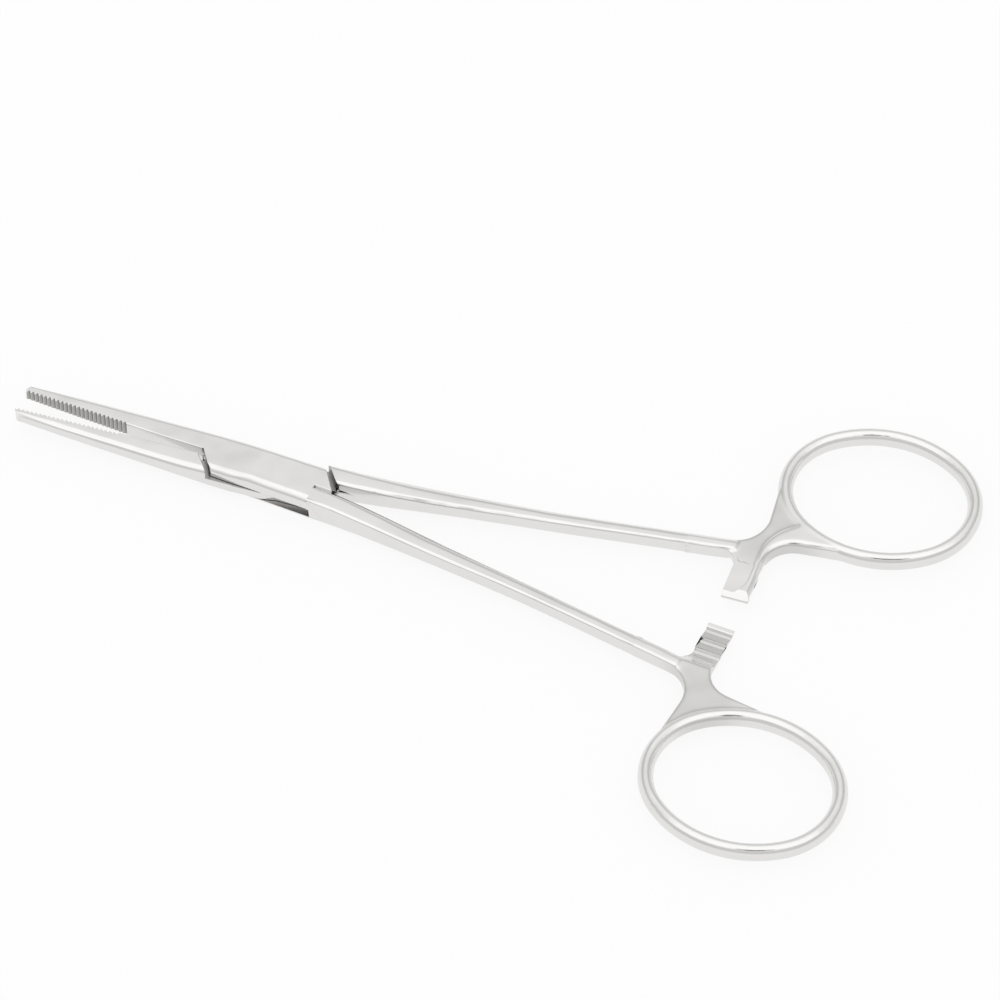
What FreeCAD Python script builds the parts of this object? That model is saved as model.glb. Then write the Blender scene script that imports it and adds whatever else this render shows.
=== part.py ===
import FreeCAD, Part
import math
import os

# Hemostat forceps, straight, 14 cm, in three pieces: a box half, a tongue half that crosses through it,
# and the flush rivet that both turn on.
#
# Each half is laid out as it lies when the jaws are shut, with the rivet on the Z axis, the jaws along -X,
# the finger rings along +X and the middle of the thickness at z = 0. The tongue half has its jaw on -Y and
# its handle on +Y. The two handles are one forging: the box half's is the same one, turned over about X.
# At the end the halves are opened to the pose at rest and lifted, so that the lock's underside is at z = 0.

V = FreeCAD.Vector
ORIGIN = V(0, 0, 0)

# Pose at rest, in degrees between the halves
REST_OPENING = 5.4

# Jaws: distance from the tip, half width of the shut pair, half thickness, bevel on the outer edges
TIP_REACH = 39.6
TIP_RADIUS = 1.36
JAW_STATIONS = (
    (0.0, 1.20, 0.93, 0.42),
    (3.1, 1.52, 1.02, 0.48),
    (11.1, 2.25, 1.18, 0.55),
    (19.1, 2.86, 1.32, 0.62),
    (27.1, 3.40, 1.56, 0.68),
    (33.1, 3.60, 1.88, 0.72),
)
TONGUE_FACE_TIP = 0.05
TONGUE_FACE_ROOT = 0.24
BOX_FACE = -0.25

# Cross serrations on the front of each inner face
SERRATION_PITCH = 0.69
SERRATION_COUNT = 24
SERRATION_DEPTH = 0.27
SERRATION_FLAT = 0.08

# Box lock
LOCK_FRONT = -1.5
LOCK_BACK = 11.0
LOCK_HALF_FRONT = 3.54
LOCK_HALF_BACK = 3.74
LOCK_THICKNESS = 4.5
LOCK_BEVEL = 0.75
TONGUE_THICKNESS = 1.4
TONGUE_OFFSET = -0.6
TONGUE_RADIUS = 8.1
TONGUE_RELIEF = 0.5
TONGUE_RELIEF_RUN = 2.5
SLOT_PLAY = 0.05
SLOT_END_PLAY = 0.2
SLOT_REACH = 8.4
SHOULDER_REACH = 9.45
SHOULDER_SIDE = 1.3
SHOULDER_ANGLE = 54.0
SHOULDER_GAP = 0.42
UNDERCUT_RUN = 2.7
UNDERCUT_HEIGHT = 1.0
UNDERCUT_DEPTH = 0.45

# Rivet
RIVET_RADIUS = 1.15
RIVET_PLAY = 0.05

# Shank: x, outer edge, width, half thickness, wide bevel (across, down), narrow bevel (across, down)
SHANK_START = 8.0
SHANK_STATIONS = (
    (14.0, 3.92, 3.52, 2.04, (0.90, 0.68), (0.34, 0.30)),
    (20.0, 4.38, 3.42, 1.76, (1.10, 0.62), (0.36, 0.30)),
    (27.0, 5.00, 3.14, 1.54, (1.15, 0.58), (0.36, 0.30)),
    (36.0, 5.74, 2.72, 1.44, (1.02, 0.55), (0.34, 0.28)),
    (46.0, 6.74, 2.46, 1.40, (0.92, 0.52), (0.32, 0.28)),
    (56.0, 8.04, 2.36, 1.40, (0.88, 0.52), (0.32, 0.28)),
    (64.0, 9.08, 2.36, 1.40, (0.88, 0.52), (0.32, 0.28)),
    (69.4, 9.90, 2.40, 1.36, (0.88, 0.52), (0.32, 0.28)),
)

SHANK_NOSE = 0.9
SHANK_NOSE_DROP = 0.5

# Finger ring: its middle is measured from the end of the shank's outer edge
RING_AHEAD = 17.05
RING_ASIDE = 15.05
RING_LONG = 14.03
RING_SHORT = 11.95
RING_END_RADIUS = 10.9
RING_WIDTH = 2.25
RING_THICKNESS = 2.86
RING_FLATS = 16

# Web between the shank, the ring and the ratchet arm, with a rim along its far side
WEB_THICKNESS = 2.04
RIM_HEIGHT = 1.36
RIM_WIDTH = 0.95
RIM_BEVEL = 0.55
SCOOP_ROUNDING = 0.3
SCOOP_RUN_OUT = 20.0

# Ratchet arm: its near side is measured from the end of the shank
ARM_AHEAD = 0.8
ARM_WIDTH = 4.05
ARM_TIP = -0.85
ARM_CLEAR = 0.08
ARM_TIP_SLOPE = 1.1
ARM_TIP_EDGE = 0.4
RATCHET_FIRST = -0.05
RATCHET_PITCH = 2.15
RATCHET_TEETH = 3
RATCHET_DEPTH = 0.5
RATCHET_LEAN = 0.25
RATCHET_FLAT = 0.12
RATCHET_RUN_OUT = 3.5


def polygon(points):
    return Part.makePolygon(list(points) + [points[0]])


def plate(wires, bottom, top):
    """A flat plate from an outline, and the holes in it if any, between two heights."""
    face = Part.Face(wires)
    face.translate(V(0, 0, bottom))
    return face.extrude(V(0, 0, top - bottom))


def flat_plate(points, bottom, top):
    return plate([polygon([V(x, y, 0) for x, y in points])], bottom, top)


def turned(shape, angle, axis=V(0, 0, 1)):
    copy = shape.copy()
    copy.rotate(ORIGIN, axis, angle)
    return copy


# Heights inside the lock
lock_top = LOCK_THICKNESS / 2
slot_top = TONGUE_OFFSET + TONGUE_THICKNESS / 2 + SLOT_PLAY
slot_bottom = TONGUE_OFFSET - TONGUE_THICKNESS / 2 - SLOT_PLAY
beyond = LOCK_THICKNESS
far = 60.0
half_turn = 180.0


def lock_half_width(x):
    share = (x - LOCK_FRONT) / (LOCK_BACK - LOCK_FRONT)
    return LOCK_HALF_FRONT + share * (LOCK_HALF_BACK - LOCK_HALF_FRONT)


def pair_section(x, half_width, half_height, bevel):
    """An octagon across both jaws, or across the lock."""
    corners = []
    for y, z in ((1, 1), (1, -1), (-1, -1), (-1, 1)):
        side = V(x, y * half_width, z * (half_height - bevel))
        face = V(x, y * (half_width - bevel), z * half_height)
        corners += [face, side] if y * z > 0 else [side, face]
    return polygon(corners)


def shut_front():
    """The shut jaws and the lock as one body, which the cuts then share out between the halves."""
    stations = [(d - TIP_REACH, *size) for d, *size in JAW_STATIONS]
    stations += [(LOCK_FRONT, LOCK_HALF_FRONT, lock_top, LOCK_BEVEL)]
    jaws = Part.makeLoft([pair_section(*s) for s in stations], True, False)
    lock = Part.makeLoft(
        [pair_section(x, lock_half_width(x), lock_top, LOCK_BEVEL) for x in (LOCK_FRONT, LOCK_BACK)],
        True, True)
    nose_x = TIP_RADIUS - TIP_REACH
    nose = Part.makeCylinder(TIP_RADIUS, 2 * beyond, V(nose_x, 0, -beyond))
    behind = Part.makeBox(far, far, 2 * beyond, V(nose_x, -far / 2, -beyond))
    return jaws.common(nose.fuse(behind)).fuse(lock)


def tongue_face(x):
    """How far the tongue half's inner jaw face lies on its own side of the X axis."""
    share = (x + TIP_REACH) / (TIP_REACH - SHOULDER_REACH)
    return TONGUE_FACE_TIP + min(share, 1.0) * (TONGUE_FACE_ROOT - TONGUE_FACE_TIP)


def on_shoulder(y, gap=0.0):
    """A point at height y on the slanted edge at the jaw end of the lock's cheeks, moved off by a gap."""
    lean = math.radians(SHOULDER_ANGLE)
    x = -SHOULDER_REACH - (y + SHOULDER_SIDE) / math.tan(lean) - gap / math.sin(lean)
    return x, y


def opposite(points):
    """The same outline half a turn round the rivet."""
    return [(-x, -y) for x, y in points]


def box_outline():
    """Plan of the box half's front: its jaw, the whole lock, and the root of its shank."""
    back = opposite([on_shoulder(2 * TONGUE_FACE_ROOT), on_shoulder(-far)])
    return [
        (-far, BOX_FACE), on_shoulder(BOX_FACE), on_shoulder(-far),
        (SHANK_START, -far), (SHANK_START, back[0][1]), back[0], back[1], (-far, far),
    ]


def beside_shoulder(gap):
    """Plan of everything on the jaw side of the slanted edge and on the tongue half's side of the jaws."""
    return [
        (-far, -TONGUE_FACE_TIP), (-TIP_REACH, -TONGUE_FACE_TIP),
        on_shoulder(-TONGUE_FACE_ROOT, gap), on_shoulder(-far, gap), (-far, -far),
    ]


def tongue_plan(bottom, top, radius, face):
    """The disc that turns in the lock, with its ways out to the jaw and to the shank."""
    disc = Part.makeCylinder(radius, top - bottom, V(0, 0, bottom))
    way_out = [(0, -face), (0, -far), (-SHOULDER_REACH - 1, -far), (-SHOULDER_REACH - 1, -face)]
    return disc.fuse([flat_plate(way_out, bottom, top), flat_plate(opposite(way_out), bottom, top)])


def tongue(front):
    """The thin middle of the tongue half, narrowed where it leaves the cheeks' edges."""
    waist = lock_half_width(0) - TONGUE_RELIEF
    cut = [(0, -far), (0, -lock_half_width(0)), (TONGUE_RELIEF_RUN, -waist), (far, -waist), (far, -far)]
    bottom, top = slot_bottom + SLOT_PLAY, slot_top - SLOT_PLAY
    body = front.common(tongue_plan(bottom, top, TONGUE_RADIUS, TONGUE_FACE_ROOT))
    body = body.common(flat_plate([(-far, -far), (SHANK_START, -far), (SHANK_START, far), (-far, far)],
                                  -beyond, beyond))
    return body.cut([flat_plate(cut, -beyond, beyond), flat_plate(opposite(cut), -beyond, beyond)])


def serration_cutters(side, shift, face):
    """V grooves across one inner face. The two faces are half a pitch apart, so that they mesh."""
    half = (SERRATION_PITCH - SERRATION_FLAT) / 2
    cutters = []
    for i in range(SERRATION_COUNT):
        x = -TIP_REACH + (i + 0.5 + shift) * SERRATION_PITCH
        y = face(x)
        groove = [(x - half, side * y), (x - half, side * (y - 1)), (x + half, side * (y - 1)),
                  (x + half, side * y), (x, side * (y + SERRATION_DEPTH))]
        cutters.append(flat_plate(groove, -beyond, beyond))
    return cutters


def shank_section(x, outer, width, half_height, wide, narrow):
    """An octagon with its wide bevels on top of the outer side and under the inner side."""
    inner = outer - width
    (wide_y, wide_z), (narrow_y, narrow_z) = wide, narrow
    return polygon([
        V(x, outer - wide_y, half_height), V(x, outer, half_height - wide_z),
        V(x, outer, narrow_z - half_height), V(x, outer - narrow_y, -half_height),
        V(x, inner + wide_y, -half_height), V(x, inner, wide_z - half_height),
        V(x, inner, half_height - narrow_z), V(x, inner + narrow_y, half_height),
    ])


def shank():
    outer = lock_half_width(SHANK_START)
    start = (SHANK_START, outer, outer - TONGUE_FACE_ROOT, lock_top, (LOCK_BEVEL, LOCK_BEVEL), (0.3, 0.3))
    return Part.makeLoft([shank_section(*s) for s in (start,) + SHANK_STATIONS], True, False)


def nose():
    """The end of the shank, sloping down into the web."""
    x, outer, width, half_height, wide, narrow = SHANK_STATIONS[-1]
    end = (x + SHANK_NOSE, outer, width, half_height - SHANK_NOSE_DROP, wide, narrow)
    return Part.makeLoft([shank_section(*SHANK_STATIONS[-1]), shank_section(*end)], True, True)


shank_end, shank_outer, shank_width = SHANK_STATIONS[-1][:3]
shank_inner = shank_outer - shank_width
ring_x = shank_end + RING_AHEAD
ring_y = shank_outer + RING_ASIDE
arm_left = shank_end + ARM_AHEAD
arm_right = arm_left + ARM_WIDTH
web_top = WEB_THICKNESS / 2


def on_ring(angle, offset):
    """A point on the ring's plan, at an angle from +X and an offset outwards from its middle line."""
    turn = math.radians(angle)
    return (ring_x + (RING_LONG + offset) * math.cos(turn), ring_y + (RING_SHORT + offset) * math.sin(turn))


def outline(start, *steps):
    """A closed wire. A step is the next corner, or a pair: a point that an arc passes through and its end."""
    edges = []
    here = V(*start, 0)
    for step in steps + (start,):
        if isinstance(step[0], tuple):
            through, end = V(*step[0], 0), V(*step[1], 0)
            edges.append(Part.Arc(here, through, end).toShape())
        else:
            end = V(*step, 0)
            edges.append(Part.LineSegment(here, end).toShape())
        here = end
    return Part.Wire(edges)


def ring_section(radius):
    """The ring's upright oval section, ground in narrow flats, at a distance from the Z axis."""
    step = 2 * math.pi / RING_FLATS
    reach = 1 / math.cos(step / 2)
    half_width, half_height = reach * RING_WIDTH / 2, reach * RING_THICKNESS / 2
    corners = [(math.cos((i + 0.5) * step), math.sin((i + 0.5) * step)) for i in range(RING_FLATS)]
    return Part.Face(polygon([V(radius + half_width * u, 0, half_height * w) for u, w in corners]))


def ring_part(middle, radius, start, sweep):
    """Part of a turn of the ring's section about a centre of its own."""
    solid = turned(ring_section(radius), start).revolve(ORIGIN, V(0, 0, 1), sweep)
    solid.translate(V(*middle, 0))
    return solid


def ring():
    """An oval of two end arcs and two side arcs that run into each other."""
    end_shift = RING_LONG - RING_END_RADIUS
    side_radius = end_shift ** 2 + RING_SHORT ** 2 - RING_END_RADIUS ** 2
    side_radius /= 2 * (RING_SHORT - RING_END_RADIUS)
    side_shift = side_radius - RING_SHORT
    spread = math.degrees(math.atan2(side_shift, end_shift))
    side_sweep = half_turn - 2 * spread
    parts = []
    for way, first in ((1, 0), (-1, half_turn)):
        parts.append(ring_part((ring_x + way * end_shift, ring_y), RING_END_RADIUS, first - spread, 2 * spread))
        parts.append(ring_part((ring_x, ring_y - way * side_shift), side_radius, first + spread, side_sweep))
    return parts[0].fuse(parts[1:])


def level_edges(shape, height, keep=lambda middle: True):
    """Edges that lie flat at one height and whose bounding box's middle is wanted."""
    boxes = [(e, e.BoundBox) for e in shape.Edges]
    level = [(e, b.Center) for e, b in boxes if abs(b.ZMin - height) + abs(b.ZMax - height) < 0.01]
    return [e for e, middle in level if keep(middle)]


def grip_plan():
    """Plan of the web and the arm."""
    return outline(
        (shank_end - 2.4, shank_inner + 0.9), (shank_end - 2.0, shank_inner + 0.2),
        ((shank_end - 0.05, shank_inner - 0.75), (arm_left, shank_inner - 2.3)),
        (arm_left, ARM_TIP), (arm_right, ARM_TIP), (arm_right, shank_inner - 0.53),
        ((arm_right + 1.33, shank_inner + 2.69), (arm_right + 4.05, shank_inner + 4.0)),
        on_ring(275, 0.3), on_ring(257, 0.15), on_ring(237, 0.15), on_ring(217, 0.15), on_ring(185, 0.6),
        (shank_end + 3.15, shank_outer + 5.1),
        ((shank_end + 2.15, shank_outer + 1.8), (shank_end - 1.3, shank_outer - 0.45)),
        (shank_end - 2.4, shank_outer - 0.9),
    )


def scoop():
    """The hollow that is ground in the top of the web and the arm, up to the rim's crest."""
    crest = arm_right - RIM_WIDTH
    near_end = arm_left - SCOOP_RUN_OUT
    plan = outline(
        (near_end, RATCHET_FIRST - 0.9), (arm_left - 0.2, RATCHET_FIRST - 0.9),
        ((crest - 0.7, RATCHET_FIRST + 0.7), (crest, RATCHET_FIRST + 2.7)), (crest, shank_inner + 1.0),
        ((crest + 0.85, shank_inner + 4.3), (crest + 3.2, shank_inner + 7.0)),
        (ring_x, ring_y), (near_end, ring_y),
    )
    block = plate([plan], web_top, beyond)
    return block.makeFillet(SCOOP_ROUNDING, level_edges(block, web_top))


def ratchet_gap():
    """All that is open under the arm: beyond its tip, between its teeth, and the ramp up to the web."""
    points = [(ARM_TIP - 1, -beyond), (ARM_TIP - 1, ARM_CLEAR)]
    for i in range(RATCHET_TEETH):
        crest = RATCHET_FIRST + i * RATCHET_PITCH
        points += [(crest - RATCHET_FLAT, ARM_CLEAR), (crest, ARM_CLEAR),
                   (crest + RATCHET_LEAN, ARM_CLEAR + RATCHET_DEPTH)]
    last = RATCHET_FIRST + RATCHET_TEETH * RATCHET_PITCH
    points += [(last, 0), (last - RATCHET_PITCH + RATCHET_LEAN + RATCHET_RUN_OUT, -web_top)]
    points += [(points[-1][0], -beyond)]
    return wedge(points)


def wedge(points):
    """An outline in Y and Z, run through the arm from one side to the other."""
    face = Part.Face(polygon([V(0, y, z) for y, z in points]))
    return face.extrude(V(2 * far, 0, 0))


def web_and_arm():
    slab = plate([grip_plan()], -web_top, RIM_HEIGHT)
    flank = level_edges(slab, RIM_HEIGHT, lambda m: m.x > arm_right - 0.1 and m.y < ring_y - RING_SHORT - 0.5)
    slab = slab.makeChamfer(RIM_BEVEL, flank)
    tip = [(ARM_TIP - 1, ARM_TIP_EDGE - (RIM_HEIGHT - ARM_TIP_EDGE) / ARM_TIP_SLOPE), (ARM_TIP - 1, beyond),
           (ARM_TIP + ARM_TIP_SLOPE, beyond), (ARM_TIP + ARM_TIP_SLOPE, RIM_HEIGHT)]
    return slab.cut([scoop(), ratchet_gap(), wedge(tip)])


def handle():
    return shank().fuse([nose(), web_and_arm(), ring()])


def undercut():
    """A ground recess in the inner face of the tongue half's root, beside the box's top cheek."""
    x, face = opposite([on_shoulder(-TONGUE_FACE_ROOT)])[0]
    low = slot_top
    high = low + UNDERCUT_HEIGHT
    start, end = x - SHOULDER_GAP, x + UNDERCUT_RUN
    side = Part.Face(polygon([V(start, 0, low), V(end, 0, low), V(start, 0, high)]))
    return side.extrude(V(0, face + UNDERCUT_DEPTH, 0))


def box_half(front, grip):
    body = front.common(flat_plate(box_outline(), -beyond, beyond))
    body = body.fuse(turned(grip, half_turn, V(1, 0, 0)))
    mouth = [(0, 0), (0, -far), (SLOT_REACH, -far), (SLOT_REACH, 0)]
    slot = tongue_plan(slot_bottom, slot_top, TONGUE_RADIUS + SLOT_END_PLAY, 0)
    slot = slot.fuse([flat_plate(plan, slot_bottom, slot_top) for plan in (mouth, opposite(mouth))])
    body = body.cut(slot)
    body = body.cut(Part.makeCylinder(RIVET_RADIUS, 2 * beyond, V(0, 0, -beyond)))
    return body.cut(serration_cutters(1, 0.25, lambda x: BOX_FACE))


def tongue_half(front, grip):
    jaw = front.common(flat_plate(beside_shoulder(SHOULDER_GAP), -beyond, beyond))
    shoulder = opposite(beside_shoulder(SHOULDER_GAP))
    reach = [(SHANK_START - 1, -far), (LOCK_BACK + 2, -far), (LOCK_BACK + 2, far), (SHANK_START - 1, far)]
    root = flat_plate(reach, -beyond, beyond).cut(flat_plate(shoulder, -2 * beyond, 2 * beyond))
    above = root.common(Part.makeBox(far, far, far, V(0, -far / 2, slot_top - SLOT_PLAY)))
    below = root.common(Part.makeBox(far, far, far, V(0, -far / 2, slot_bottom + SLOT_PLAY - far)))
    body = grip.cut([above, below, undercut()]).fuse([tongue(front), jaw])
    body = body.cut(serration_cutters(-1, -0.25, tongue_face))
    return body.cut(Part.makeCylinder(RIVET_RADIUS + RIVET_PLAY, 2 * beyond, V(0, 0, -beyond)))


def rivet():
    return Part.makeCylinder(RIVET_RADIUS, LOCK_THICKNESS, V(0, 0, -lock_top))


def main():
    front = shut_front()
    grip = handle()
    half_angle = REST_OPENING / 2
    pieces = {
        "box_half": turned(box_half(front, grip), -half_angle),
        "tongue_half": turned(tongue_half(front, grip), half_angle),
        "pivot_rivet": turned(rivet(), -half_angle),
    }
    os.makedirs("parts", exist_ok=True)
    for name, shape in pieces.items():
        solid = shape.removeSplitter()
        solid.translate(V(0, 0, lock_top))
        solid = solid.Solids[0] if len(solid.Solids) == 1 else solid
        solid.exportStep(f"parts/{name}.step")
        box = solid.BoundBox
        print(f"{name}: {len(solid.Solids)} solid, valid {solid.isValid()}, {solid.Volume:.1f} mm3, "
              f"x {box.XMin:.2f} to {box.XMax:.2f}, y {box.YMin:.2f} to {box.YMax:.2f}, "
              f"z {box.ZMin:.2f} to {box.ZMax:.2f}")


main()
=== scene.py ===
# %% [markdown]
# # Straight hemostat forceps
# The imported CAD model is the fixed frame: its three pieces already have their real size and place.
# This script gives them their steel, a pale studio and the camera of the photograph.

# %% Load the frame
import bmesh
import bpy
import math
from mathutils import Matrix, Vector


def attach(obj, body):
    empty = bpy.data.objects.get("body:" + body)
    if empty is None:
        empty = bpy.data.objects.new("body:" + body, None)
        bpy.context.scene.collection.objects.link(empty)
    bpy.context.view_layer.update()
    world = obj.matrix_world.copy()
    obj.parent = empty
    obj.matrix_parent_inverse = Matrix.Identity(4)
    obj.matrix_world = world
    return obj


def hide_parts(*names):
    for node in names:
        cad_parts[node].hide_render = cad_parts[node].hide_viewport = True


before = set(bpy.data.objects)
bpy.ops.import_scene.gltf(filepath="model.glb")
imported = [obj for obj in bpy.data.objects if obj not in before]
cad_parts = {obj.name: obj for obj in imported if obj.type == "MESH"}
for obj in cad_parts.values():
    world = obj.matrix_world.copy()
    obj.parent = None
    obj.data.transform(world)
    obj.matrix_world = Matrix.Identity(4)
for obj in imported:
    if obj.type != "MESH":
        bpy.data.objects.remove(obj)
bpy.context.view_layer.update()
MM = 0.001
print("nodes:", sorted(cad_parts))

# %% [markdown]
# ## Camera
# The photograph looks down at about 48 degrees, from a good way off, so that the rings hardly shrink.
# A long lens does that: what lies nearer or farther keeps almost the same scale.

# %% Set up the camera
CAMERA_AIM = Vector((33.5, 8.23, 2.25)) * MM
CAMERA_AZIMUTH = 21.64
CAMERA_ELEVATION = 48.5
CAMERA_DISTANCE = 1.031
LENS_MM = 253.5


def direction(azimuth, elevation):
    """A unit vector from the object to the camera that looks along +Y at azimuth 0."""
    turn, lift = math.radians(azimuth), math.radians(elevation)
    return Vector((math.sin(turn) * math.cos(lift), -math.cos(turn) * math.cos(lift), math.sin(lift)))


camera_data = bpy.data.cameras.new("camera")
camera_data.lens = LENS_MM
camera_data.sensor_width = 36.0
camera_data.clip_end = 10.0
camera = bpy.data.objects.new("camera", camera_data)
bpy.context.scene.collection.objects.link(camera)
to_camera = direction(CAMERA_AZIMUTH, CAMERA_ELEVATION)
camera.location = CAMERA_AIM + CAMERA_DISTANCE * to_camera
camera.rotation_euler = to_camera.to_track_quat("Z", "Y").to_euler()
bpy.context.scene.camera = camera
bpy.context.scene.view_settings.view_transform = "Standard"
print("camera at", [round(c, 3) for c in camera.location])

# %% [markdown]
# ## Shader maths as expressions
# A finish is easier to read as a formula than as a list of links. `Sum` wraps a socket, so that
# `0.2 + 0.05 * noise` adds the Math nodes by itself, and `Tree.add` makes any other node.

# %% A small shader language
class Sum:
    """A socket's value, on which Python's operators add Math nodes."""

    def __init__(self, tree, socket):
        self.tree = tree
        self.socket = socket

    def math(self, operation, *others):
        node = self.tree.add("ShaderNodeMath", {"operation": operation}, dict(enumerate((self,) + others)))
        return Sum(self.tree, node.outputs[0])

    def __add__(self, other):
        return self.math("ADD", other)

    def __sub__(self, other):
        return self.math("SUBTRACT", other)

    def __mul__(self, other):
        return self.math("MULTIPLY", other)

    def __rsub__(self, other):
        return self.math("MULTIPLY", -1.0).math("ADD", other)

    __radd__ = __add__
    __rmul__ = __mul__


class Tree:
    """A node tree, with one way to add a node: its type, its settings, then its sockets."""

    def __init__(self, node_tree):
        self.nodes = node_tree.nodes
        self.links = node_tree.links

    def add(self, kind, settings=None, sockets=None):
        node = self.nodes.new(kind)
        for key, value in (settings or {}).items():
            setattr(node, key, value)
        for key, value in (sockets or {}).items():
            value = value.socket if isinstance(value, Sum) else value
            if isinstance(value, bpy.types.NodeSocket):
                self.links.new(value, node.inputs[key])
            else:
                node.inputs[key].default_value = value
        return node

    def value(self, kind, output, settings=None, sockets=None):
        return Sum(self, self.add(kind, settings, sockets).outputs[output])


def soft_step(tree, value, low, high):
    """0 below low, 1 above high, and a soft ramp between."""
    return tree.value("ShaderNodeMapRange", 0, {"interpolation_type": "SMOOTHSTEP"},
                      {0: value, 1: low, 2: high, 3: 0.0, 4: 1.0})


def new_material(name):
    """An empty material and its tree."""
    material = bpy.data.materials.new(name)
    material.use_nodes = True
    material.node_tree.nodes.clear()
    return material, Tree(material.node_tree)


print("shader helpers ready")

# %% [markdown]
# ## Steel
# Surgical steel is ground along its length and then polished, so it is a soft mirror with very fine
# scratches, and a belt held by hand leaves it a little wavy. One noise is stretched along the piece for the
# scratches. A broad one tilts the mirror a few degrees, and clouds the colour and the polish too. The belt
# doesn't reach into the hollow beside each ring, so a round mask leaves that satin. The same mask also darkens
# the hollow's colour, which is painted shade.

# %% Make the steel finishes
WAVE_SCALE = 170.0
WAVE_HEIGHT = 0.00025
CLOUD_SHADE = 0.95
SCRATCH_BUMP = 0.25
SCRATCH_ROUGHNESS = 0.06
CLOUD_ROUGHNESS = 0.05
SATIN_ROUGHNESS = 0.08
# The hollow's painted shade: the colour that darkens it and how much of it is mixed in
HOLLOW_PAINTED_SHADE = 0.83
HOLLOW_PAINTED_SHADE_SHARE = 0.9
# The hollow's middle in x and in y to either side, its fading radius, and the height where it ends, in metres
HOLLOW_MIDDLE = (0.0733, 0.0170)
HOLLOW_RADIUS = (0.004, 0.009)
HOLLOW_TOP = (0.0032, 0.0035)


def in_hollow(tree, place):
    """1 in the hollow between shank, ring and arm, and 0 elsewhere."""
    x, y, z = (tree.value("ShaderNodeSeparateXYZ", axis, None, {0: place}) for axis in "XYZ")
    ahead = x - HOLLOW_MIDDLE[0]
    aside = y.math("ABSOLUTE") - HOLLOW_MIDDLE[1]
    away = (ahead * ahead + aside * aside).math("SQRT")
    return (1.0 - soft_step(tree, away, *HOLLOW_RADIUS)) * (1.0 - soft_step(tree, z, *HOLLOW_TOP))


def steel(name, colour, roughness, grain, grain_height, wave=1.0):
    """Ground steel. The grain is the scratches' scale, in turns per metre, along X, Y and Z."""
    material, tree = new_material(name)
    place = tree.add("ShaderNodeTexCoord").outputs["Object"]
    stretched = tree.add("ShaderNodeMapping", {"vector_type": "POINT"}, {"Vector": place, "Scale": grain})
    scratches = tree.value("ShaderNodeTexNoise", "Fac", None,
                           {"Vector": stretched.outputs[0], "Scale": 1.0, "Detail": 3.0, "Roughness": 0.6})
    clouds = tree.value("ShaderNodeTexNoise", "Fac", None,
                        {"Vector": place, "Scale": WAVE_SCALE, "Detail": 1.0})
    waves = tree.add("ShaderNodeBump", None, {"Height": clouds, "Strength": wave, "Distance": WAVE_HEIGHT})
    bump = tree.add("ShaderNodeBump", None, {
        "Height": scratches, "Strength": SCRATCH_BUMP, "Distance": grain_height, "Normal": waves.outputs[0]})
    shade = tree.add("ShaderNodeMix", {"data_type": "RGBA"}, {"Factor": clouds})
    shade.inputs[6].default_value = [CLOUD_SHADE * c for c in colour] + [1.0]
    shade.inputs[7].default_value = list(colour) + [1.0]
    # The hollow's mask roughens it, which is real satin, and darkens its colour, which is painted shade.
    satin_and_painted_shade = in_hollow(tree, place)
    painted_hollow_shade = tree.add("ShaderNodeMix", {"data_type": "RGBA", "blend_type": "MULTIPLY"},
                      {"Factor": HOLLOW_PAINTED_SHADE_SHARE * satin_and_painted_shade, 6: shade.outputs[2]})
    painted_hollow_shade.inputs[7].default_value = [HOLLOW_PAINTED_SHADE] * 3 + [1.0]
    dulled = SCRATCH_ROUGHNESS * scratches + CLOUD_ROUGHNESS * clouds + SATIN_ROUGHNESS * satin_and_painted_shade
    surface = tree.add("ShaderNodeBsdfPrincipled", None, {
        "Base Color": painted_hollow_shade.outputs[2],
        "Metallic": 1.0,
        "Roughness": roughness + dulled,
        "Normal": bump.outputs[0],
    })
    tree.add("ShaderNodeOutputMaterial", None, {"Surface": surface.outputs[0]})
    return material


polished_steel = steel("polished_steel", (0.80, 0.793, 0.785), 0.12, (700.0, 9000.0, 9000.0), 0.00001)
# The milled steel is rougher, which is real, and about half as bright, which is painted shade for the grooves,
# the slot and the gap walls.
milled_steel_painted_shade = steel("milled_steel_painted_shade", (0.43, 0.42, 0.41), 0.26, (9000.0, 9000.0, 600.0), 0.00002, 0.0)
rivet_steel = steel("rivet_steel", (0.79, 0.783, 0.775), 0.15, (5000.0, 5000.0, 5000.0), 0.00001)
print("steels:", polished_steel.name, milled_steel_painted_shade.name, rivet_steel.name)

# %% [markdown]
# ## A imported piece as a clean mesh
# The CAD solids come in as loose triangles. A copy is merged and can be cut by planes, and each cut is
# closed. Each half is then finished in three parts, because each part was made in another way: the front
# was ground and keeps crisp ridges, the ratchet arm was milled, and the ring end was polished all round.

# %% Copy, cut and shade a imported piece
MERGE_DISTANCE = 2e-6
CRISP_DEGREES = 35.0


def packed_copy(node, name):
    """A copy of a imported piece, at the origin, with its triangles merged into a closed mesh."""
    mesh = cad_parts[node].data.copy()
    mesh.materials.clear()
    piece = bpy.data.objects.new(name, mesh)
    bpy.context.scene.collection.objects.link(piece)
    work = bmesh.new()
    work.from_mesh(mesh)
    bmesh.ops.remove_doubles(work, verts=work.verts, dist=MERGE_DISTANCE)
    bmesh.ops.recalc_face_normals(work, faces=work.faces)
    work.to_mesh(mesh)
    work.free()
    return piece


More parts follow.
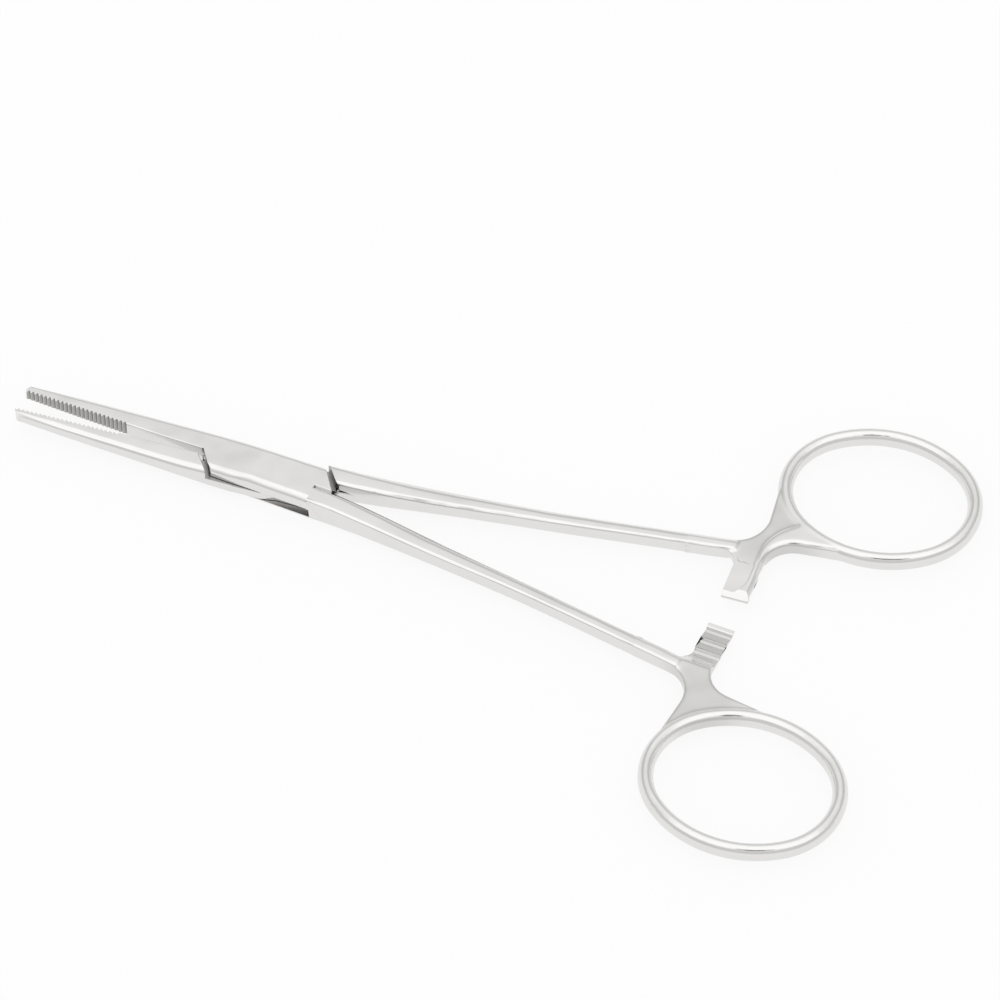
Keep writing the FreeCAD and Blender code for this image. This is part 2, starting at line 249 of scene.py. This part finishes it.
def keep_behind(piece, point, normal):
    """Cut off all that lies in front of a plane, and close the cut."""
    work = bmesh.new()
    work.from_mesh(piece.data)
    geometry = work.verts[:] + work.edges[:] + work.faces[:]
    cut = bmesh.ops.bisect_plane(work, geom=geometry, plane_co=point, plane_no=normal, clear_outer=True)
    rim = [e for e in cut["geom_cut"] if isinstance(e, bmesh.types.BMEdge)]
    bmesh.ops.holes_fill(work, edges=rim, sides=0)
    bmesh.ops.recalc_face_normals(work, faces=work.faces)
    work.to_mesh(piece.data)
    work.free()


def mark_ridges(mesh, degrees):
    """Shade a mesh smooth, apart from the edges that turn by more than an angle."""
    work = bmesh.new()
    work.from_mesh(mesh)
    for face in work.faces:
        face.smooth = True
    for edge in work.edges:
        edge.smooth = edge.is_manifold and edge.calc_face_angle(0.0) < math.radians(degrees)
    work.to_mesh(mesh)
    work.free()


def bake_modifiers(piece):
    """Turn what the modifiers make into the piece's own mesh."""
    evaluated = piece.evaluated_get(bpy.context.evaluated_depsgraph_get())
    finished = bpy.data.meshes.new_from_object(evaluated)
    piece.modifiers.clear()
    piece.data = finished
    return finished


def even_shading(piece):
    """Let large facets decide the shading, so that flat faces mirror as flat ones."""
    mark_ridges(piece.data, CRISP_DEGREES)
    weighted = piece.modifiers.new("even_shading", "WEIGHTED_NORMAL")
    weighted.keep_sharp = True
    bake_modifiers(piece)


print("mesh helpers ready")

# %% [markdown]
# ## Serrations
# The jaws grip with 24 fine cross grooves each, milled after the jaw was ground. They repeat by a rule, so
# Geometry Nodes lay out the cutters: a line of points, one wedge on each point, and each wedge taller than
# the last, because the jaw thickens towards the lock.

# %% Lay out a row of cutters with Geometry Nodes
def cutter_row_tree():
    """The row's node group, and the node in it that takes the wedge."""
    tree = bpy.data.node_groups.new("cutter_row", "GeometryNodeTree")
    inputs = (("Count", "NodeSocketInt"), ("First", "NodeSocketVector"), ("Step", "NodeSocketVector"),
              ("Growth", "NodeSocketFloat"), ("Finish", "NodeSocketMaterial"))
    for name, kind in inputs:
        tree.interface.new_socket(name, in_out="INPUT", socket_type=kind)
    tree.interface.new_socket("Geometry", in_out="OUTPUT", socket_type="NodeSocketGeometry")
    nodes = Tree(tree)
    sizes = nodes.add("NodeGroupInput").outputs
    wedge = nodes.add("GeometryNodeObjectInfo", {"transform_space": "ORIGINAL"})
    points = nodes.add("GeometryNodeMeshLine", {"mode": "OFFSET"}, {
        "Count": sizes["Count"], "Start Location": sizes["First"], "Offset": sizes["Step"]})
    height = 1.0 + Sum(nodes, sizes["Growth"]) * Sum(nodes, nodes.add("GeometryNodeInputIndex").outputs[0])
    scale = nodes.add("ShaderNodeCombineXYZ", None, {"X": 1.0, "Y": 1.0, "Z": height})
    row = nodes.add("GeometryNodeInstanceOnPoints", None, {
        "Points": points.outputs[0], "Instance": wedge.outputs["Geometry"], "Scale": scale.outputs[0]})
    real = nodes.add("GeometryNodeRealizeInstances", None, {"Geometry": row.outputs[0]})
    finish = nodes.add("GeometryNodeSetMaterial", None, {
        "Geometry": real.outputs[0], "Material": sizes["Finish"]})
    nodes.add("NodeGroupOutput", None, {"Geometry": finish.outputs[0]})
    return tree, wedge


def closed_mesh(name, sections):
    """A closed mesh through a list of sections, each a ring of points in millimetres."""
    work = bmesh.new()
    rings = [[work.verts.new([c * MM for c in point]) for point in section] for section in sections]
    for here, there in zip(rings, rings[1:]):
        for i in range(len(here)):
            j = (i + 1) % len(here)
            work.faces.new((here[i], here[j], there[j], there[i]))
    work.faces.new(rings[0])
    work.faces.new(rings[-1])
    bmesh.ops.recalc_face_normals(work, faces=work.faces)
    mesh = bpy.data.meshes.new(name)
    work.to_mesh(mesh)
    work.free()
    return mesh


def cutter_row(name, wedge, sizes):
    """A row of wedges as one plain mesh object. Each input is set by its socket's identifier."""
    tree, source = cutter_row_tree()
    source.inputs["Object"].default_value = wedge
    row = bpy.data.objects.new(name, bpy.data.meshes.new(name))
    bpy.context.scene.collection.objects.link(row)
    modifier = row.modifiers.new("row", "NODES")
    modifier.node_group = tree
    for item in tree.interface.items_tree:
        if item.in_out == "INPUT":
            modifier[item.identifier] = sizes[item.name]
    bake_modifiers(row)
    print(name, len(row.data.polygons), "faces")
    return row


# %% Cut the serrations' rows
HALF_OPENING = 2.7
# Each half's body, and the side of its ring
HALVES = {"box_half": ("box_side", -1.0), "tongue_half": ("tongue_side", 1.0)}
# All in millimetres on the shut tool, with the rivet's axis at x 0
MIDDLE_Z = 2.25
CUTTER_SPARE = 0.3
TIP_X = -39.6
SERRATION_PITCH = 0.69
SERRATION_COUNT = 24
GROOVE_DEPTH = 0.285
GROOVE_HALF = 0.32
FLARE_START = 0.76
WEDGE_END = 1.25
JAW_GROWTH = 0.0161
# The first groove's place in pitches, the face's y there and its change per groove, the side that the
# groove cuts into, and its depth at the ends, where the mill runs out
SERRATED_FACES = {
    "box_half": (0.75, -0.25, 0.0, 1.0, 0.36),
    "tongue_half": (0.25, -0.05, -0.00435, -1.0, 0.85),
}


def opening(node):
    """The turn that takes a half from the shut tool to where it rests."""
    return Matrix.Rotation(math.radians(HALVES[node][1] * HALF_OPENING), 4, "Z")


def groove_section(side, depth, z):
    """A V in the jaw, closed outside the metal."""
    outside = -CUTTER_SPARE * side
    plan = [(-GROOVE_HALF, 0.0), (-GROOVE_HALF, outside), (GROOVE_HALF, outside), (GROOVE_HALF, 0.0),
            (0.0, depth * side)]
    return [(x, y, z) for x, y in plan]


def serration_row(node):
    """Wedges for one jaw, deeper towards their two ends."""
    start, face_y, slope, side, end_depth = SERRATED_FACES[node]
    levels = ((-WEDGE_END, end_depth), (-FLARE_START, GROOVE_DEPTH), (FLARE_START, GROOVE_DEPTH),
              (WEDGE_END, end_depth))
    wedge = closed_mesh("wedge_" + node, [groove_section(side, depth, z) for z, depth in levels])
    row = cutter_row("serrations_" + node, bpy.data.objects.new("wedge_" + node, wedge), {
        "Count": SERRATION_COUNT,
        "First": ((TIP_X + start * SERRATION_PITCH) * MM, face_y * MM, MIDDLE_Z * MM),
        "Step": (SERRATION_PITCH * MM, slope * MM, 0.0),
        "Growth": JAW_GROWTH,
        # The grooves take the milled steel, whose darker colour is painted shade inside them.
        "Finish": milled_steel_painted_shade,
    })
    row.data.transform(opening(node))
    return row


rows = {node: serration_row(node) for node in HALVES}

# %% [markdown]
# ## Eased corners
# The jaw's inner edges are eased by hand before the milling, so that each tooth ends in a small bright
# facet. Each edge gets a slim three-sided cutter that runs through a few places along it.

# %% Make the cutters for the eased corners
# Places along a corner, in millimetres on the shut tool: x, y towards the half's own ring, z from the
# middle, and how much is eased
INNER_EDGES = {
    "box_half": ((-41.0, 0.25, 0.895, 0.18), (-23.2, 0.25, 1.28, 0.18), (-10.6, 0.25, 1.65, 0.13)),
    "tongue_half": ((-41.0, -0.05, 0.895, 0.07), (-23.2, -0.153, 1.28, 0.07)),
}


def corner_cutter(name, node, places, upside):
    """A three-sided bar over a corner, the metal being on the far side from the half's own ring."""
    side = HALVES[node][1]
    sections = []
    for x, y, z, eased in places:
        out, up, back = y + CUTTER_SPARE, z + CUTTER_SPARE, eased + CUTTER_SPARE
        sections.append([(x, side * b, MIDDLE_Z + upside * c)
                         for b, c in ((y - back, up), (out, up), (out, z - back))])
    mesh = closed_mesh(name, sections)
    mesh.transform(opening(node))
    mesh.materials.append(polished_steel)
    cutter = bpy.data.objects.new(name, mesh)
    bpy.context.scene.collection.objects.link(cutter)
    return cutter


cutters = {}
for node, row in rows.items():
    own = [corner_cutter(f"ease_{node}_{up:+.0f}", node, INNER_EDGES[node], up) for up in (1.0, -1.0)]
    cutters[node] = own + [row]
print("cutters:", [c.name for own in cutters.values() for c in own])

# %% [markdown]
# ## Ground front: jaws, lock and shank
# The row of cutters is a little larger than the imported grooves, so it leaves fresh milled faces in each, and
# runs out deeper at the jaw's top and bottom. These faces, the slot and the walls of the shoulder gaps get the
# rougher milled steel, whose darker colour is painted shade in these recesses. Then the long ridges are
# rounded
# with a Bevel by edge weight: wide where two facets meet at an open angle, narrow on square edges, and not at
# all among the teeth.

# %% Mill the jaw and round the ridges
SEAM_X = 62.0 * MM
SEAM_LAP = 0.3 * MM
FLAT_ANGLE = math.radians(0.5)
RIDGE_DEGREES = 20.0
SHORTEST_RIDGE = 0.45 * MM
RIDGE_WIDTH = 0.42 * MM
EDGE_SHARE = 0.28
OPEN_RIDGE_DEGREES = 65.0
FACET_SHARE = 0.44
SERRATED_END = -22.3 * MM
SERRATED_REACH = 0.6 * MM
# How far from the rivet the gaps' walls and the slot's faces lie, in millimetres
WALLS_FROM, WALLS_TO, WALLS_ASIDE = 7.5, 12.8, 4.7
SLOT_REACH, SLOT_LOW, SLOT_HIGH = 11.0, 0.8, 2.5


def facet_width(face, edge):
    """How far a facet reaches back from one of its edges."""
    corners = 2.0 if len(face.verts) == 3 else 1.0
    return corners * face.calc_area() / max(e.calc_length() for e in face.edges)


def round_ridges(piece, width, left_sharp):
    """Give the long outward edges a Bevel: a wide one on open ridges, a narrow one on square edges, and
    none that takes up more than its share of the facets beside it. Edges can be left sharp by a test."""
    work = bmesh.new()
    work.from_mesh(piece.data)
    bmesh.ops.dissolve_limit(work, angle_limit=FLAT_ANGLE, verts=work.verts, edges=work.edges)
    weight = work.edges.layers.float.new("bevel_weight_edge")
    ridges = 0
    for edge in work.edges:
        if not (edge.is_manifold and edge.is_convex) or edge.calc_length() < SHORTEST_RIDGE:
            continue
        if edge.calc_face_angle(0.0) > math.radians(RIDGE_DEGREES) and not left_sharp(edge):
            room = min(facet_width(face, edge) for face in edge.link_faces)
            most = 1.0 if edge.calc_face_angle(0.0) < math.radians(OPEN_RIDGE_DEGREES) else EDGE_SHARE
            edge[weight] = min(most, FACET_SHARE * room / width)
            ridges += 1
    work.to_mesh(piece.data)
    work.free()
    bevel = piece.modifiers.new("ridges", "BEVEL")
    bevel.limit_method = "WEIGHT"
    bevel.width = width
    bevel.segments = 3
    bevel.use_clamp_overlap = False
    bevel.miter_outer = "MITER_ARC"
    print(piece.name, "ridges:", ridges)


def mark_painted_shade_walls(mesh):
    """The milled steel goes on the walls of the shoulder gaps and inside the slot: its roughness is real and
    its darker colour is painted shade.
    """
    painted_shade_slot = mesh.materials.find("milled_steel_painted_shade")
    marked = 0
    for face in mesh.polygons:
        x, y, z = (abs(c) / MM for c in face.center)
        upright, lying = abs(face.normal.z) < 0.3, abs(face.normal.z) > 0.9
        crosswise = abs(face.normal.x) > 0.5
        wall = upright and crosswise and WALLS_FROM < x < WALLS_TO and y < WALLS_ASIDE
        slot = lying and x < SLOT_REACH and SLOT_LOW < z < SLOT_HIGH
        if wall or slot:
            face.material_index = painted_shade_slot
            marked += 1
    print(mesh.name, "milled walls:", marked)


def on_plane(edge, point, normal):
    """Whether an edge lies in a plane."""
    return all(abs((v.co - point).dot(normal)) < MERGE_DISTANCE for v in edge.verts)


def inward(node):
    """The way from a half's ring to its arm's tip."""
    return (opening(node) @ Vector((0, -HALVES[node][1] * MM, 0))).normalized()


def front_part(node, name):
    """One half's jaw, lock and shank."""
    piece = packed_copy(node, name)
    seam = (Vector((SEAM_X, 0, 0)), Vector((1, 0, 0)))
    keep_behind(piece, *seam)
    piece.data.materials.append(polished_steel)
    for cutter in cutters[node]:
        cut = piece.modifiers.new(cutter.name, "BOOLEAN")
        cut.operation = "DIFFERENCE"
        cut.solver = "EXACT"
        cut.material_mode = "TRANSFER"
        cut.object = cutter
    mark_painted_shade_walls(bake_modifiers(piece))
    across = inward(node)

    def left_sharp(edge):
        serrated = all(v.co.x < SERRATED_END and abs(v.co.dot(across)) < SERRATED_REACH for v in edge.verts)
        return serrated or on_plane(edge, *seam)

    round_ridges(piece, RIDGE_WIDTH, left_sharp)
    bake_modifiers(piece)
    even_shading(piece)
    return piece


# %% [markdown]
# ## Ratchet arm
# The arm's teeth were milled and lightly broken with a stone, so their edges are crisp: the copy is cut off
# where the arm leaves the web, and gets a narrow bevel.

# %% Finish the ratchet arm
ARM_SEAM_Y = 6.6 * MM
ARM_SEAM_LAP = 1.4 * MM
ARM_EDGE_WIDTH = 0.16 * MM


def arm_part(node, name):
    """One half's ratchet arm, with crisp teeth."""
    piece = packed_copy(node, name)
    keep_behind(piece, (SEAM_X, 0, 0), (-1, 0, 0))
    seam = (-ARM_SEAM_Y * inward(node), -inward(node))
    keep_behind(piece, *seam)
    piece.data.materials.append(polished_steel)
    round_ridges(piece, ARM_EDGE_WIDTH, lambda edge: on_plane(edge, *seam))
    bake_modifiers(piece)
    even_shading(piece)
    return piece


# %% [markdown]
# ## Polished ring and web
# The ring, its web and the end of the shank run into each other with no edge at all. A fine voxel remesh
# gives them even quads, and smoothing them by a vertex group melts the web's ridges more than the ring's.

# %% Melt the ring end together
VOXEL = 0.115 * MM
# The web's middle on the shut tool, y towards the ring
WEB_MIDDLE = (74.0, 13.5)
WEB_REACH = 9.0 * MM
SMOOTHING = 0.5
POLISH_ROUNDS = 12
MELT_ROUNDS = 60
MELTED_DEGREES = 80.0


def ring_part(node, name):
    """One half's ring, web and end of the shank, melted together."""
    piece = packed_copy(node, name)
    keep_behind(piece, (SEAM_X - SEAM_LAP, 0, 0), (-1, 0, 0))
    keep_behind(piece, -(ARM_SEAM_Y - ARM_SEAM_LAP) * inward(node), inward(node))
    remesh = piece.modifiers.new("even", "REMESH")
    remesh.mode = "VOXEL"
    remesh.voxel_size = VOXEL
    bake_modifiers(piece)
    piece.data.materials.append(polished_steel)
    web = piece.vertex_groups.new(name="web")
    middle = opening(node) @ Vector((WEB_MIDDLE[0] * MM, HALVES[node][1] * WEB_MIDDLE[1] * MM, 0))
    for vertex in piece.data.vertices:
        away = (vertex.co - middle).xy.length / WEB_REACH
        web.add([vertex.index], max(0.0, min(1.0, 2.0 - 2.0 * away)), "REPLACE")
    for title, group, rounds in (("polish", "", POLISH_ROUNDS), ("melt", "web", MELT_ROUNDS)):
        smooth = piece.modifiers.new(title, "SMOOTH")
        smooth.factor = SMOOTHING
        smooth.iterations = rounds
        smooth.vertex_group = group
    mark_ridges(bake_modifiers(piece), MELTED_DEGREES)
    return piece


# %% [markdown]
# ## Both halves and the rivet
# Each part takes the place of its packed half and turns with it. The rivet is ground flush with the lock on
# both sides, so only a faint ring of it shows. Its copy needs no more than smooth shading and a finer grain.

# %% Dress both halves and the rivet
for node, (body, _) in HALVES.items():
    for make, ending in ((front_part, "front"), (arm_part, "ratchet_arm"), (ring_part, "ring_end")):
        piece = make(node, node + "_" + ending)
        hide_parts(node)
        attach(piece, body)
        print(piece.name, sum(len(p.vertices) - 2 for p in piece.data.polygons), "triangles")
for cutter in [c for own in cutters.values() for c in own]:
    bpy.data.objects.remove(cutter)
rivet = packed_copy("pivot_rivet", "rivet")
mark_ridges(rivet.data, RIDGE_DEGREES)
rivet.data.materials.append(rivet_steel)
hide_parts("pivot_rivet")
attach(rivet, "box_side")

# %% [markdown]
# ## Studio
# The floor is white paper. It keeps the steel's soft shadow, and a share of glow, which only the camera
# and mirrors see, lifts it to the white of a studio table.

# %% Lay the floor
FLOOR_SIZE = 6.0
PAPER_WHITE = 0.9
GLOW_SHARE = 0.87


def white_paper():
    """Matt paper, with its glow seen by the camera and by mirrors."""
    material, tree = new_material("white_paper")
    path = tree.add("ShaderNodeLightPath")
    seen = Sum(tree, path.outputs["Is Camera Ray"]).math("MAXIMUM", Sum(tree, path.outputs["Is Glossy Ray"]))
    seen = seen.math("MAXIMUM", Sum(tree, path.outputs["Is Transmission Ray"]))
    paper = tree.add("ShaderNodeBsdfDiffuse", None, {"Color": [PAPER_WHITE] * 3 + [1.0]})
    glow = tree.add("ShaderNodeEmission", None, {"Color": (1.0, 1.0, 1.0, 1.0), "Strength": 1.0})
    both = tree.add("ShaderNodeMixShader", None,
                    {"Fac": GLOW_SHARE * seen, 1: paper.outputs[0], 2: glow.outputs[0]})
    tree.add("ShaderNodeOutputMaterial", None, {"Surface": both.outputs[0]})
    return material


reach = FLOOR_SIZE / 2
floor_mesh = bpy.data.meshes.new("floor")
floor_mesh.from_pydata([(-reach, -reach, 0), (reach, -reach, 0), (reach, reach, 0), (-reach, reach, 0)],
                       [], [(0, 1, 2, 3)])
floor_mesh.materials.append(white_paper())
floor = bpy.data.objects.new("floor", floor_mesh)
bpy.context.scene.collection.objects.link(floor)
print("floor", FLOOR_SIZE, "m wide")

# %% [markdown]
# ## Light
# Polished steel is only seen by what it mirrors. The world is a white tent for every matt surface, but a
# mirror also finds a bright lamp overhead, a grey wall behind the camera, a dim strip low at the back and
# the dark round of the camera's own lens. Those four draw the bevels.

# %% Paint the tent
TENT_LEVEL = 0.97
LAMP_GAIN = 0.28
WALL_LOSS = 0.25
STRIP_LOSS = 0.33
LENS_LOSS = 0.85
# Where each one fades in and out, as the upward part of a ray: 0 is level and 1 is overhead
STRIP_EDGES = ((0.12, 0.30), (0.45, 0.80))
WALL_EDGES = ((-0.1, 0.1), (0.45, 0.58))
LAMP_EDGE_IN_FRONT = (0.55, 0.75)
LAMP_EDGE_BEHIND = (0.80, 0.95)
FRONT_EDGE = (-0.15, 0.15)
LENS_EDGE = (0.970, 0.990)


def towards(tree, ray, way):
    """How far a ray points in a direction: 1 is straight there."""
    return tree.value("ShaderNodeVectorMath", "Value", {"operation": "DOT_PRODUCT"}, {0: ray, 1: tuple(way)})


def band(tree, value, rise, fall):
    """1 between two soft edges, and 0 outside."""
    return soft_step(tree, value, *rise) * (1.0 - soft_step(tree, value, *fall))


world = bpy.data.worlds.new("white_tent")
bpy.context.scene.world = world
world.use_nodes = True
world.node_tree.nodes.clear()
sky = Tree(world.node_tree)
ray = sky.add("ShaderNodeTexCoord").outputs["Generated"]
upward = sky.value("ShaderNodeSeparateXYZ", "Z", None, {0: ray})
in_front = soft_step(sky, towards(sky, ray, direction(CAMERA_AZIMUTH, 0.0)), *FRONT_EDGE)
behind = 1.0 - in_front
dim_strip = band(sky, upward, *STRIP_EDGES) * behind
grey_wall = band(sky, upward, *WALL_EDGES) * in_front
lamp = (soft_step(sky, upward, *LAMP_EDGE_IN_FRONT) * in_front
        + soft_step(sky, upward, *LAMP_EDGE_BEHIND) * behind)
dark_lens = soft_step(sky, towards(sky, ray, to_camera), *LENS_EDGE)
level = TENT_LEVEL - STRIP_LOSS * dim_strip - WALL_LOSS * grey_wall + LAMP_GAIN * lamp
level = level * (1.0 - LENS_LOSS * dark_lens)
mirrored = sky.value("ShaderNodeLightPath", "Is Glossy Ray")
strength = 1.0 + mirrored * (level - 1.0)
tent = sky.add("ShaderNodeBackground", None, {"Color": (1.0, 1.0, 1.0, 1.0), "Strength": strength})
sky.add("ShaderNodeOutputWorld", None, {"Surface": tent.outputs[0]})
print("tent painted")
